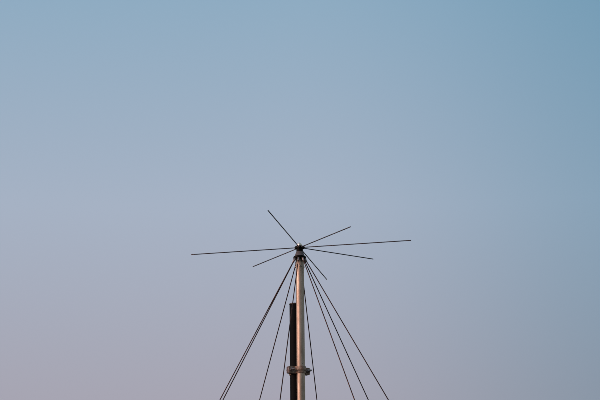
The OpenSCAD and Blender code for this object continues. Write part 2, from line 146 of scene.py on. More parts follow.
add_lamp("warm_key", strength=3.0, colour="ffc9b4", softness=38, height=14,
         bearing=math.degrees(camera_bearing) - 64)
add_lamp("overhead_fill", strength=1.5, colour="eef3ff", softness=40, height=84, bearing=0, mirrored=False)

backdrop = bpy.data.worlds.new("backdrop")
bpy.context.scene.world = backdrop
backdrop.use_nodes = True
backdrop.node_tree.nodes.clear()
direction = add(backdrop, "TexCoord").outputs["Generated"]
upwards = add(backdrop, "SeparateXYZ", {"Vector": direction}).outputs["Z"]
fade = add(backdrop, "ValToRGB", {"Fac": upwards},
           [(0.02, "c8c6ca"), (0.165, "a7a5b2"), (0.28, "a6b2c4"), (0.41, "8cabc2")])
rightwards = add(backdrop, "VectorMath", {0: direction, 1: camera_right}, operation="DOT_PRODUCT")
shaded = add(backdrop, "MapRange", {"Value": rightwards.outputs["Value"], "From Min": -0.014,
                                    "From Max": 0.246}, interpolation_type="SMOOTHSTEP")
tinted = add(backdrop, "MixRGB", {"Fac": shaded, "Color1": fade, "Color2": "cae5ec"},
             blend_type="MULTIPLY")
seen = add(backdrop, "Background", {"Color": tinted})
room = add(backdrop, "MapRange", {"Value": upwards, "From Min": -1.0})
room_paint = add(backdrop, "ValToRGB", {"Fac": room},
                 [(0.36, "2e2d2a"), (0.47, "5e5d57"), (0.5, "868880"), (0.62, "8b9493"), (0.95, "9fb2c0")])
walls = add(backdrop, "Background", {"Color": room_paint})
to_camera = add(backdrop, "LightPath").outputs["Is Camera Ray"]
chosen = add(backdrop, "MixShader", {0: to_camera, 1: walls, 2: seen})
add(backdrop, "OutputWorld", {"Surface": chosen}, is_active_output=True)
bpy.context.scene.view_settings.view_transform = "Standard"


def new_material(name):
    """A material with no nodes yet."""
    finish = bpy.data.materials.new(name)
    finish.use_nodes = True
    finish.node_tree.nodes.clear()
    return finish


def surface(finish, sockets):
    """Ends a material with its surface shader, and hands it back."""
    add(finish, "OutputMaterial", {"Surface": add(finish, "BsdfPrincipled", sockets)})
    return finish


# The floor has matt paint, which is pale, even and without shine. It neither lights the mast nor shows in
# its metal.
floor_paint = surface(new_material("matt_floor_paint"), {"Base Color": "d6d6d8", "Roughness": 0.9})
floor_half = 140
floor_mesh = bpy.data.meshes.new("floor")
floor_corners = np.array([(-1, -1, 0), (1, -1, 0), (1, 1, 0), (-1, 1, 0)]) * floor_half
floor_mesh.from_pydata(floor_corners.tolist(), [], [(0, 1, 2, 3)])
floor_mesh.materials.append(floor_paint)
floor = bpy.data.objects.new("floor", floor_mesh)
bpy.context.scene.collection.objects.link(floor)
floor.visible_diffuse = False
floor.visible_glossy = False


# Foot plate. Steel plate cut to a rounded square and drilled for four anchor bolts, its edges eased
# before the whole mast was powder coated.
plate_side = span("foot_plate")[1][0] * 2
plate_top = span("foot_plate")[1][2]
plate_corner = 12 * MM
anchor_spacing = 130 * MM
anchor_radius = 6 * MM
plate_edge = 0.8 * MM
sharp_angle = math.radians(32)
merge_reach = 0.002 * MM


def finish_piece(mesh, name, material, replaced=()):
    """Shades a mesh smooth but for its sharp edges, and makes it a piece of the mast."""
    mesh.shade_smooth()
    mesh.set_sharp_from_angle(angle=sharp_angle)
    mesh.materials.append(material)
    piece = bpy.data.objects.new(name, mesh)
    bpy.context.scene.collection.objects.link(piece)
    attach(piece, "root")
    if replaced:
        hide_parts(*replaced)


def clean(mesh):
    """Merges points that coincide, as at a seam or a pole, and turns all faces outwards."""
    work = bmesh.new()
    work.from_mesh(mesh)
    bmesh.ops.remove_doubles(work, verts=work.verts, dist=merge_reach)
    bmesh.ops.recalc_face_normals(work, faces=work.faces)
    work.to_mesh(mesh)
    work.free()


def circle(radius, steps):
    """An outline of x = r cos a and y = r sin a."""
    a = np.linspace(0, 2 * np.pi, steps, endpoint=False)
    return radius * np.stack([np.cos(a), np.sin(a)], axis=1)


def rounded_square(side, radius, steps=10):
    """An outline whose corners are quarter circles round points that lie the radius inside both sides."""
    a = (np.arange(4)[:, None] + np.linspace(0, 1, steps)) * np.pi / 2
    middle = (np.arange(4)[:, None] + 0.5) * np.pi / 2
    inside = side / 2 - radius
    x = np.sign(np.cos(middle)) * inside + radius * np.cos(a)
    y = np.sign(np.sin(middle)) * inside + radius * np.sin(a)
    return np.stack([x.ravel(), y.ravel()], axis=1)


def cut_plate(name, outlines, thickness, edge):
    """A plate on z = 0 that fills the first outline around the others.

    The outlines are drawn in by the edge's radius, and a quarter circle of it swells them back out.
    """
    curve = bpy.data.curves.new(name, "CURVE")
    curve.dimensions = "2D"
    curve.fill_mode = "BOTH"
    curve.extrude = thickness / 2 - edge
    curve.bevel_depth = edge
    curve.bevel_resolution = 2
    curve.offset = -edge
    for outline in outlines:
        spline = curve.splines.new("POLY")
        spline.points.add(len(outline) - 1)
        points = np.column_stack([outline, np.zeros(len(outline)), np.ones(len(outline))])
        spline.points.foreach_set("co", points.ravel())
        spline.use_cyclic_u = True
    drawing = bpy.data.objects.new(name, curve)
    bpy.context.scene.collection.objects.link(drawing)
    view = bpy.context.evaluated_depsgraph_get()
    mesh = bpy.data.meshes.new_from_object(drawing.evaluated_get(view))
    bpy.data.objects.remove(drawing)
    mesh.transform(Matrix.Translation((0, 0, thickness / 2)))
    clean(mesh)
    return mesh


def edge_wear(finish, reach, flat, sharp, most=1.0):
    """How worn a point is, from 0 on a flat face to most on a sharp edge.

    The cosine between the true normal and one rounded over that reach falls from flat to sharp there.
    """
    rounded = add(finish, "Bevel", {"Radius": reach}, samples=4)
    along = add(finish, "VectorMath", {0: rounded, 1: add(finish, "NewGeometry").outputs["Normal"]},
                operation="DOT_PRODUCT")
    return add(finish, "MapRange", {"Value": along.outputs["Value"], "From Min": flat, "From Max": sharp,
                                    "To Max": most})


def powder_coat():
    """Black powder-coated steel: a skin with a fine orange peel, chalked matt by the sun, dusty where it
    faces up, and chipped to browned steel along sharp edges."""
    peel_size = 1.8 * MM
    chalk_size = 45 * MM
    chip_size = 3 * MM
    edge_reach = 1.4 * MM
    finish = new_material("black_powder_coated_steel")
    place = add(finish, "TexCoord").outputs["Object"]
    peel = add(finish, "TexNoise", {"Vector": place, "Scale": 1 / peel_size, "Detail": 1.5})
    chalk = add(finish, "TexNoise", {"Vector": place, "Scale": 1 / chalk_size, "Detail": 6.0,
                                     "Roughness": 0.62})
    chips = add(finish, "TexNoise", {"Vector": place, "Scale": 1 / chip_size, "Detail": 4.0})
    faded = add(finish, "ValToRGB", {"Fac": chalk}, [(0.38, "04070a"), (0.72, "0b1115")])
    facing = add(finish, "SeparateXYZ", {"Vector": add(finish, "NewGeometry").outputs["Normal"]})
    settled = add(finish, "MapRange", {"Value": facing.outputs["Z"], "From Min": 0.5, "From Max": 1.0})
    thin_dust = add(finish, "Math", {0: settled, 1: chalk}, operation="MULTIPLY")
    dusty = add(finish, "MixRGB", {"Fac": thin_dust, "Color1": faded, "Color2": "4d4840"})
    at_edge = edge_wear(finish, edge_reach, 0.97, 0.85)
    flaked = add(finish, "MapRange", {"Value": chips, "From Min": 0.52, "From Max": 0.6})
    worn = add(finish, "Math", {0: at_edge, 1: flaked}, operation="MULTIPLY")
    colour = add(finish, "MixRGB", {"Fac": worn, "Color1": dusty, "Color2": "5a4536"})
    dull = add(finish, "MapRange", {"Value": chalk, "To Min": 0.62, "To Max": 0.86})
    bump = add(finish, "Bump", {"Height": peel, "Strength": 0.5, "Distance": 0.06 * MM})
    return surface(finish, {"Base Color": colour, "Roughness": dull, "Specular IOR Level": 0.1,
                            "Normal": bump})


coat = powder_coat()
anchors = [circle(anchor_radius, 40)[::-1] + anchor_spacing / 2 * np.array(corner)
           for corner in ((1, 1), (-1, 1), (-1, -1), (1, -1))]
plate_mesh = cut_plate("foot_plate_cut", [rounded_square(plate_side, plate_corner)] + anchors,
                       plate_top, plate_edge)
finish_piece(plate_mesh, "foot_plate_cut", coat, ["foot_plate"])


# Gussets. Four webs of the same steel stand on the foot plate and hold the tube upright. Each has a
# blunt toe, a slope up to the tube, and a corner cut away to clear the weld round the tube.
mast_radius = span("mast_tube")[1][0]
gusset_end = span("gussets")[1][0]
gusset_top = span("gussets")[1][2]
gusset_thickness = 5 * MM
gusset_toe = 8 * MM
gusset_relief = 7 * MM
gusset_edge = 0.5 * MM
gusset_gap = 0.1 * MM
across_x = np.array([[0.0, 1.0]])


def piece_of(name, grids, material, replaced=()):
    """Makes one piece from grids of points. Each row goes once round, and quads join the rows."""
    points, faces, count = [], [], 0
    for grid in grids:
        rows, columns = grid.shape[:2]
        corner = np.arange(rows * columns).reshape(rows, columns) + count
        low, high = corner[:-1], corner[1:]
        quads = np.stack([low, np.roll(low, -1, axis=1), np.roll(high, -1, axis=1), high], axis=-1)
        points.append(grid.reshape(-1, 3))
        faces.append(quads.reshape(-1, 4))
        count += rows * columns
    mesh = bpy.data.meshes.new(name)
    mesh.from_pydata(np.concatenate(points).tolist(), [], np.concatenate(faces).tolist())
    clean(mesh)
    finish_piece(mesh, name, material, replaced)


def bar(centre, across, thickness, low, high, edge, divisions=1):
    """Carries an upright rounded rectangle along a path in plan, and closes both ends.

    A point of the section lies u (t / 2 - e) + e cos b across the path and w (h / 2 - e) + e sin b from
    the middle height, where u and w are 1 or -1 at a corner and b turns by a right angle round it.
    """
    b = (np.arange(4)[:, None] + np.linspace(0, 1, 4)) * np.pi / 2
    u = np.repeat([1.0, -1.0, -1.0, 1.0], 4)
    w = np.repeat([1.0, 1.0, -1.0, -1.0], 4)
    side = np.linspace(1, -1, divisions + 1)[1:-1]
    blank = np.ones(len(side))
    u = np.concatenate([u[:8], -blank, u[8:], blank])
    w = np.concatenate([w[:8], side, w[8:], -side])
    cosine = np.concatenate([np.cos(b).ravel()[:8], -blank, np.cos(b).ravel()[8:], blank])
    sine = np.concatenate([np.sin(b).ravel()[:8], 0 * blank, np.sin(b).ravel()[8:], 0 * blank])
    round_edge = np.minimum(edge, np.minimum(thickness, high - low) / 2)[:, None]
    offset = u * (thickness[:, None] / 2 - round_edge) + cosine * round_edge
    height = (low + high)[:, None] / 2 + w * ((high - low)[:, None] / 2 - round_edge) + sine * round_edge
    plan = centre[:, None] + across[:, None] * offset[..., None]
    grid = np.concatenate([plan, height[..., None]], axis=-1)
    ends = grid[[0, -1]].mean(axis=1, keepdims=True) * np.ones((1, grid.shape[1], 1))
    return np.concatenate([ends[:1], grid, ends[1:]])


def turned_by(points, angle):
    """Turns points round the upright axis: x cos t - y sin t, x sin t + y cos t, z."""
    c, s = np.cos(angle), np.sin(angle)
    return points @ np.array([[c, s, 0], [-s, c, 0], [0, 0, 1]])


gusset_x = np.unique(np.concatenate([
    np.linspace(mast_radius + gusset_gap, gusset_end, 40),
    [mast_radius + gusset_relief, mast_radius + gusset_toe, gusset_end - gusset_edge],
]))
slope = (gusset_top - plate_top - gusset_toe) / (gusset_end - mast_radius - gusset_toe)
gusset_low = plate_top + np.clip(mast_radius + gusset_relief - gusset_x, 0, None)
gusset_high = gusset_top - slope * np.clip(gusset_x - mast_radius - gusset_toe, 0, None)
gusset = bar(np.stack([gusset_x, 0 * gusset_x], 1), across_x, np.full(len(gusset_x), gusset_thickness),
             gusset_low, gusset_high, gusset_edge)
piece_of("gusset_webs", [turned_by(gusset, quarter * np.pi / 2) for quarter in range(4)],
         coat, ["gussets"])


# Welds. Fillets run round the tube between the gussets and up both sides of each gusset. They were laid
# by hand in short steps, and the coat covers them.
weld_leg = 3.6 * MM
foot_leg = 0.9 * weld_leg
tube_leg = 0.8 * weld_leg
weld_step = 2.2 * MM
weld_rise = 0.32 * MM
weld_root = 0.3 * MM
corner_gap = 1.5 * MM
toe_gap = 2 * MM
end_gap = 1 * MM


def weld(path, out, up, leg):
    """A fillet carried along a path, from the direction out to the direction up.

    Its reach at the angle b is leg (1 + 0.22 sin 2b) / (cos b + sin b), which is a straight face with a
    belly, and it falls away at both ends. Ripples of |sin|, left as each puddle of metal froze, trail by
    half a step in the middle of the face.
    """
    s = np.concatenate([[0], np.cumsum(np.linalg.norm(np.diff(path, axis=0), axis=1))])
    b = np.linspace(0, np.pi / 2, 9)
    belly = leg * (1 + 0.22 * np.sin(2 * b)) / (np.cos(b) + np.sin(b))
    lag = 0.5 * weld_step * np.cos(2 * (b - np.pi / 4)) ** 2
    ripple = weld_rise * np.abs(np.sin(np.pi * (s[:, None] + lag) / weld_step))
    taper = np.sqrt(np.clip(np.minimum(s, s[-1] - s) / leg, 0, 1))[:, None]
    reach = (belly + ripple) * taper
    face = path[:, None] + out * (reach * np.cos(b))[..., None] + up * (reach * np.sin(b))[..., None]
    root = path[:, None] - (out + up) * weld_root
    return np.concatenate([root, face], axis=1)


def weld_line(start, end):
    """Points along a straight run, five to each step of the weld."""
    length = np.linalg.norm(np.subtract(end, start))
    return np.linspace(start, end, int(5 * length / weld_step))


upright = np.array([0.0, 0.0, 1.0])
outward = np.array([1.0, 0.0, 0.0])
half_web = gusset_thickness / 2
corner_angle = math.asin(half_web / mast_radius) + corner_gap / mast_radius
ring_angles = np.linspace(corner_angle, np.pi / 2 - corner_angle, 50)
ring = np.stack([np.cos(ring_angles), np.sin(ring_angles), 0 * ring_angles], 1)
quarter_ring = weld(ring * mast_radius + upright * plate_top, ring[:, None], upright, weld_leg)
fillets = [turned_by(quarter_ring, quarter * np.pi / 2) for quarter in range(4)]
for side in (-1, 1):
    sideways = np.array([0.0, side, 0.0])
    foot_run = weld_line((mast_radius + gusset_relief, side * half_web, plate_top),
                         (gusset_end - toe_gap, side * half_web, plate_top))
    tube_run = weld_line((mast_radius, side * half_web, plate_top + gusset_relief + end_gap),
                         (mast_radius, side * half_web, gusset_top - end_gap))
    foot_weld = weld(foot_run, sideways, upright, foot_leg)
    tube_weld = weld(tube_run, sideways, outward, tube_leg)
    for fillet in (foot_weld, tube_weld):
        fillets += [turned_by(fillet, quarter * np.pi / 2) for quarter in range(4)]
piece_of("foot_welds", fillets, coat)


# Mast tube. Drawn steel tube, cut square, welded to its foot and powder coated with it. The lid closes
# its top end.
mast_low, mast_high = span("mast_tube")
mast_wall = 2.3 * MM
tube_edge = 0.4 * MM


def eased(corners, radius, steps=5):
    """A closed outline with its corners rounded.

    Near a corner P the line follows (1 - s)^2 A + 2 s (1 - s) P + s^2 B, where A and B lie the radius
    from P on its two sides, or at their middle where a side is short.
    """
    corners = np.array(corners, dtype=float)
    s = np.linspace(0, 1, steps)[None, :, None]
    ends = []
    for other in (np.roll(corners, 1, axis=0), np.roll(corners, -1, axis=0)):
        side = other - corners
        length = np.maximum(np.linalg.norm(side, axis=1), 1e-9)
        reach = np.minimum(np.broadcast_to(radius, length.shape), length / 2)
        ends.append((corners + side * (reach / length)[:, None])[:, None])
    curve = (1 - s) ** 2 * ends[0] + 2 * s * (1 - s) * corners[:, None] + s ** 2 * ends[1]
    return curve.reshape(-1, 2)


def revolved(outline, steps=96, flats=0, flat_reach=0.0):
    """Carries a closed outline of radius and height once round: x = r cos a, y = r sin a, z = h.

    The outline's radius may also be a row for each angle. With flats, r is at most flat_reach / cos a',
    where a' is the angle from the middle of the nearest flat. The last row is the first again, and an
    outline that starts and ends on the axis drops it.
    """
    radius, height = outline
    a = np.linspace(0, 2 * np.pi, steps, endpoint=False)
    radius = radius.reshape(len(height), -1) * np.ones(steps)
    if flats:
        from_flat = (a + np.pi / flats) % (2 * np.pi / flats) - np.pi / flats
        radius = np.minimum(radius, flat_reach / np.cos(from_flat))
    grid = np.stack([radius * np.cos(a), radius * np.sin(a), height[:, None] * np.ones(steps)], axis=-1)
    return np.concatenate([grid, grid[:1]])


def tube(bore, radius, low, high, edges, steps):
    """A tube or washer: the rectangle between two radii and two heights, eased and carried round."""
    corners = [(bore, low), (radius, low), (radius, high), (bore, high)]
    return revolved(eased(corners, edges).T, steps)


mast = tube(mast_radius - mast_wall, mast_radius, mast_low[2], mast_high[2], tube_edge, steps=128)
piece_of("mast_tube_drawn", [mast], coat, ["mast_tube"])


# Lid. Black polyethylene, moulded in one with the hollow plug that holds it in the tube. The gate where
# the plastic was let in left a small round mark in the middle of its top.
lid_low, lid_high = span("mast_lid")
lid_radius = lid_high[0]
lid_top = lid_high[2]
lid_under = mast_high[2]
plug_gap = 0.1 * MM
plug_wall = 1.8 * MM
plug_radius = mast_radius - mast_wall - plug_gap
plug_inside = plug_radius - plug_wall
gate_radius = 2.2 * MM
gate_depth = 0.35 * MM
gate_slope = 0.3 * MM
lid_edges = np.array([0, 0.2, 0.2, 0.9, 0.3, 0, 0.6, 0.4, 0.4, 0]) * MM


def polyethylene():
    """Moulded black polyethylene: waxy and even, greyed a little by the sun and scuffed by handling."""
    grain_size = 0.5 * MM
    scuff_size = 7 * MM
    finish = new_material("black_moulded_polyethylene")
    place = add(finish, "TexCoord").outputs["Object"]
    grain = add(finish, "TexNoise", {"Vector": place, "Scale": 1 / grain_size, "Detail": 3.0})
    scuff = add(finish, "TexNoise", {"Vector": place, "Scale": 1 / scuff_size, "Detail": 8.0,
                                     "Roughness": 0.7})
    greyed = add(finish, "ValToRGB", {"Fac": scuff}, [(0.4, "121212"), (0.75, "2b2a29")])
    dull = add(finish, "MapRange", {"Value": scuff, "To Min": 0.42, "To Max": 0.62})
    bump = add(finish, "Bump", {"Height": grain, "Strength": 0.35, "Distance": 0.04 * MM})
    return surface(finish, {"Base Color": greyed, "Roughness": dull, "IOR": 1.51,
                            "Specular IOR Level": 0.4, "Normal": bump})


lid_outline = eased([
    (0, lid_top - gate_depth), (gate_radius, lid_top - gate_depth), (gate_radius + gate_slope, lid_top),
    (lid_radius, lid_top), (lid_radius, lid_under), (plug_radius, lid_under), (plug_radius, lid_low[2]),
    (plug_inside, lid_low[2]), (plug_inside, lid_under), (0, lid_under),
], lid_edges)
piece_of("mast_lid_moulded", [revolved(lid_outline.T, 128)], polyethylene(), ["mast_lid"])


# Clamps, saddles. Each clamp has a cast block between the two tubes, with a round seat for each. It was
# galvanised, and has browned.
saddle_edge = 1.0 * MM
face_corner = 4 * MM
seat_gap = 0.15 * MM


def rounded_height(x, reach, height, radius):
    """Half the height of a face with round corners, at x from its middle.

    Within the radius of an end it is h / 2 - r + sqrt(r^2 - (r - d)^2), at the distance d from the end.
    """
    past = np.clip(radius - (reach - np.abs(x)), 0, radius)
    return height / 2 - radius + np.sqrt(radius ** 2 - past ** 2)


def rounded_end(distance, radius):
    """How much of its thickness a bar keeps at the distance d from an end that is rounded over r:
    sqrt(1 - (1 - d / r)^2), and all of it past r."""
    return np.sqrt(1 - (1 - distance / radius).clip(0, 1) ** 2)


def browned_metal(name, bright, brown, rust, shine, smooth, rough, lump_size, lump_depth):
    """Zinc on steel or iron after years outdoors: the bright metal dulls to brown in clouds, and rust
    comes through in spots and along the edges. Shine is how metallic it is where no rust shows."""
    cloud_size = 9 * MM
    spot_size = 2.6 * MM
    edge_reach = 1.2 * MM
    finish = new_material(name)
    place = add(finish, "TexCoord").outputs["Object"]
    clouds = add(finish, "TexNoise", {"Vector": place, "Scale": 1 / cloud_size, "Detail": 8.0,
                                      "Roughness": 0.65})
    spots = add(finish, "TexNoise", {"Vector": place, "Scale": 1 / spot_size, "Detail": 5.0,
                                     "Roughness": 0.6})
    lumps = add(finish, "TexNoise", {"Vector": place, "Scale": 1 / lump_size, "Detail": 4.0})
    at_edge = edge_wear(finish, edge_reach, 0.98, 0.86, 0.22)
    dulled = add(finish, "ValToRGB", {"Fac": clouds}, [(0.36, bright), (0.56, brown)])
    eaten = add(finish, "Math", {0: spots, 1: at_edge}, operation="ADD")
    rusted = add(finish, "MapRange", {"Value": eaten, "From Min": 0.56, "From Max": 0.7})
    colour = add(finish, "MixRGB", {"Fac": rusted, "Color1": dulled, "Color2": rust})
    metal = add(finish, "MapRange", {"Value": rusted, "To Min": shine, "To Max": 0.1})
    dull = add(finish, "MapRange", {"Value": clouds, "From Min": 0.3, "From Max": 0.7, "To Min": smooth,
                                    "To Max": rough})
    crust = add(finish, "Math", {0: lumps, 1: rusted, 2: lumps}, operation="MULTIPLY_ADD")
    bump = add(finish, "Bump", {"Height": crust, "Strength": 0.7, "Distance": lump_depth})
    return surface(finish, {"Base Color": colour, "Metallic": metal, "Roughness": dull, "Normal": bump})


cast_iron = browned_metal("galvanised_cast_iron", bright="85858f", brown="645c5f", rust="41312e",
                          shine=0.4, smooth=0.55, rough=0.75, lump_size=1.1 * MM, lump_depth=0.22 * MM)


def saddle(node):
    """The cast block's grid: a bar along x, whose front and back follow the tubes' seats.

    Behind the pipe the front lies at sqrt(r^2 - x^2) from its axis wherever that is deeper than the face.
    """
    low, high = span(node)
    middle_z = (low[2] + high[2]) / 2
    pipe_seat = pipe_high[0] + seat_gap
    mast_seat = mast_radius + seat_gap
    pipe_edge = math.sqrt(pipe_seat ** 2 - (low[1] - pipe_y) ** 2)
    mast_edge = math.sqrt(mast_seat ** 2 - high[1] ** 2)
    half = np.concatenate([
        np.linspace(0, pipe_edge, 16), np.linspace(pipe_edge, mast_edge, 4)[1:],
        np.linspace(mast_edge, high[0] - face_corner, 12)[1:],
        high[0] - face_corner * (1 - np.sin(np.linspace(0, np.pi / 2, 10)[1:])),
    ])
    x = np.concatenate([-half[:0:-1], half])
    front = np.maximum(low[1], pipe_y + np.sqrt(np.clip(pipe_seat ** 2 - x ** 2, 0, None)))
    back = np.minimum(high[1], -np.sqrt(np.clip(mast_seat ** 2 - x ** 2, 0, None)))
    tall = rounded_height(x, high[0], high[2] - low[2], face_corner)
    thin = rounded_end(high[0] - np.abs(x), saddle_edge)
    return bar(np.stack([x, (front + back) / 2], 1), across_x, (back - front) * thin,
               middle_z - tall, middle_z + tall, saddle_edge, divisions=4)


for level in ("upper", "lower"):
    piece_of(level + "_saddle_casting", [saddle(level + "_centre_saddle")], cast_iron,
             [level + "_centre_saddle"])


# Clamps, straps. Strips of zinc-plated steel, bent round the tubes and out to two ears, with a bead
# pressed along the bend to stiffen it. The plating has browned.
strap_thickness = 2.5 * MM
bead_width = 8 * MM
bead_height = 1.2 * MM
bead_flank = 1.6 * MM
bead_runout = 3 * MM
bend_radius = 2 * MM
strap_edge = 0.6 * MM
strap_spacing = 0.9 * MM
browned_steel = browned_metal("browned_zinc_plated_steel", bright="958a84", brown="7b6557", rust="50352a",
                              shine=0.35, smooth=0.5, rough=0.7, lump_size=1.6 * MM, lump_depth=0.08 * MM)


def bent_strip(start, lengths, turns, spacing):
    """Follows a strip that turns by each angle over each length, and starts along +x.

    Its heading is the running total of the turns, and its place the running total of steps along it. Each
    point has its distance along the strip, its place and its direction across.
    """
    knots = np.concatenate([[0], np.cumsum(lengths)])
    round_end = face_corner * (1 - np.cos(np.linspace(0, np.pi / 2, 10)))
    even = np.linspace(0, knots[-1], int(knots[-1] / spacing))
    s = np.unique(np.concatenate([even, round_end, knots[-1] - round_end]))
    heading = np.interp(s, knots, np.concatenate([[0], np.cumsum(turns)]))
    halfway = (heading[1:] + heading[:-1]) / 2
    steps = np.diff(s)[:, None] * np.stack([np.cos(halfway), np.sin(halfway)], 1)
    place = start + np.concatenate([np.zeros((1, 2)), np.cumsum(steps, axis=0)])
    return s, place, np.stack([np.sin(heading), -np.cos(heading)], 1)


def smooth_step(q):
    """Rises from 0 to 1 as 3 q^2 - 2 q^3."""
    return 3 * q ** 2 - 2 * q ** 3


def strap(node, tube_y, facing):
    """A strap's grid: a bar along the bent strip, swelled by the bead.

    The bead lifts the strip by h times one smooth step across its width and another at its ends.
    """
    low, high = span(node)
    far, near = (low[1], high[1]) if facing < 0 else (high[1], low[1])
    tube_seat = abs(far - tube_y) - strap_thickness - bead_height
    ear_y = abs(near - tube_y) - strap_thickness / 2
    middle = tube_seat + strap_thickness / 2
    curl = bend_radius + strap_thickness / 2
    ear = high[0] - middle - curl
    flank = ear_y - curl
    quarter = np.pi / 2
    lengths = [ear, curl * quarter, flank, middle * 2 * quarter, flank, curl * quarter, ear]
    s, place, across = bent_strip(np.array([-high[0], ear_y]), lengths,
                                  [0, -quarter, 0, 2 * quarter, 0, -quarter, 0], strap_spacing)
    from_end = np.minimum(s, s[-1] - s)
    tall = rounded_height(from_end - high[0], high[0], high[2] - low[2], face_corner)
    thin = rounded_end(from_end, strap_edge)
    middle_z = (low[2] + high[2]) / 2
    grid = bar(place, across, strap_thickness * thin, middle_z - tall, middle_z + tall, strap_edge,
               divisions=28)
    lengthwise = np.clip((middle * quarter - np.abs(s - s[-1] / 2)) / bead_runout, 0, 1)
    crosswise = np.clip((bead_width / 2 - np.abs(grid[1:-1, :, 2] - middle_z)) / bead_flank, 0, 1)
    lift = bead_height * smooth_step(lengthwise)[:, None] * smooth_step(crosswise)
    grid[1:-1, :, :2] += across[:, None] * lift[..., None]
    if facing > 0:
        grid[..., :2] *= -1
    return grid + np.array([0, tube_y, 0])


for level in ("upper", "lower"):
    for side, tube_y, facing in (("front", pipe_y, -1), ("back", 0.0, 1)):
        node = level + "_" + side + "_strap"
        piece_of(node + "_pressed", [strap(node, tube_y, facing)], browned_steel, [node])


# Clamps, bolts. Zinc-plated M6 hexagon bolts run forwards through the ears, with a washer at both ends
# and a nut in front. Rain has dulled the zinc to a patchy grey, with brown stains.
bolt_radius = 3 * MM
bolt_spacing = 60 * MM
bolt_across = 10 * MM
bolt_head = 3.96 * MM
bolt_face = 0.9 * bolt_across / 2
bolt_under = 1.2 * bolt_across / 2
chamfer_start = 0.93
chamfer_end = 1.16
chamfer_angle = math.radians(30)
thread_gap = 0.1 * MM
thread_pitch = 1 * MM
thread_depth = 0.55 * MM
thread_length = 18 * MM
bolt_point = 0.6 * MM
broken_edge = 0.3 * MM
nut_bore = bolt_radius - 0.1 * MM
nut_sink = 0.6 * MM
washer_bore = bolt_radius + 0.2 * MM
washer_thickness = 1.2 * MM
washer_edges = np.array([0.1, 0.15, 0.5, 0.2]) * MM
forwards = (0, -1, 0)


def zinc():
    """Bright zinc plating gone dull: grey metal in light and dark clouds, with brown stains that shine
    less."""
    cloud_size = 3.5 * MM
    stain_size = 6 * MM
    finish = new_material("dulled_zinc_plating")
    place = add(finish, "TexCoord").outputs["Object"]
    clouds = add(finish, "TexNoise", {"Vector": place, "Scale": 1 / cloud_size, "Detail": 8.0,
                                      "Roughness": 0.65})
    stains = add(finish, "TexNoise", {"Vector": place, "Scale": 1 / stain_size, "Detail": 6.0})
    dulled = add(finish, "ValToRGB", {"Fac": clouds}, [(0.35, "9a969c"), (0.7, "625d60")])
    stained = add(finish, "MapRange", {"Value": stains, "From Min": 0.5, "From Max": 0.68})
    colour = add(finish, "MixRGB", {"Fac": stained, "Color1": dulled, "Color2": "38292a"})
    metal = add(finish, "MapRange", {"Value": stained, "To Min": 0.9, "To Max": 0.45})
    dull = add(finish, "MapRange", {"Value": clouds, "From Min": 0.3, "From Max": 0.7, "To Min": 0.3,
                                    "To Max": 0.55})
    bump = add(finish, "Bump", {"Height": clouds, "Strength": 0.4, "Distance": 0.05 * MM})
    return surface(finish, {"Base Color": colour, "Metallic": metal, "Roughness": dull, "Normal": bump})


def aimed(points, origin, direction, spin=0.0):
    """Turns points by the spin round their own z, aims that z along the direction, and moves them to the
    origin. The new axes are the unit direction and two crosswise to it."""
    z = np.array(direction, dtype=float) / np.linalg.norm(direction)
    helper = np.array([0.0, 0.0, 1.0]) if abs(z[2]) < 0.9 else np.array([1.0, 0.0, 0.0])
    x = np.cross(helper, z) / np.linalg.norm(np.cross(helper, z))
    return np.array(origin) + turned_by(points, spin) @ np.array([x, np.cross(z, x), z])


def chamfer(across, height, sign):
    """Rows of a chamfer that runs out past a hexagon's corners, from the face at that height.

    It is a cone, z = h + (r - r0) tan(angle). The flats cut it off, which leaves an arc on each of them.
    """
    radius = np.linspace(chamfer_start, chamfer_end, 9) * across / 2
    return radius, height + sign * (radius - radius[0]) * math.tan(chamfer_angle)


def hexagon(across, low, high):
    """The rows of both chamfers of a hexagon, from its lower face up to its higher one."""
    radius, height = chamfer(across, high, -1)
    return chamfer(across, low, 1), (radius[::-1], height[::-1])


def thread(radius, pitch, depth, start, end, steps):
    """Rows of a screw thread, eight to each pitch: r = R - d clip(1.3 |2 q - 1| - 0.15, 0, 1), where q is
    the fraction of z / pitch - a / turn. It fades in over the first pitch and out over the last."""
    z = np.linspace(start, end, int(8 * (end - start) / pitch))
    a = np.arange(steps) / steps
    q = (z[:, None] / pitch - a) % 1
    ramp = np.clip(np.minimum(z - start, end - z) / pitch, 0, 1)[:, None]
    return radius - depth * ramp * np.clip(1.3 * np.abs(2 * q - 1) - 0.15, 0, 1), z


def stacked(*rows):
    """Joins rows of radius and height, given as single points or as pairs of arrays, into one outline."""
    radii, heights = [], []
    for radius, height in rows:
        height = np.atleast_1d(height)
        radii.append(np.asarray(radius, dtype=float).reshape(len(height), -1))
        heights.append(height)
    widest = max(radius.shape[1] for radius in radii)
    return np.concatenate([radius * np.ones(widest) for radius in radii]), np.concatenate(heights)


def bolt(length):
    """A hexagon bolt along +z, with its head below zero."""
    steps = 48
    thread_start = length - thread_length
    return revolved(stacked(
        (0, -bolt_head), (bolt_face, -bolt_head),
        chamfer(bolt_across, -bolt_head, 1),
        (bolt_under, 0), (bolt_radius + broken_edge, 0), (bolt_radius, broken_edge),
        (bolt_radius, thread_start),
        thread(bolt_radius, thread_pitch, thread_depth, thread_start + thread_gap, length - bolt_point,
               steps),
        (bolt_radius - thread_depth, length), (0, length),
    ), steps, flats=6, flat_reach=bolt_across / 2)


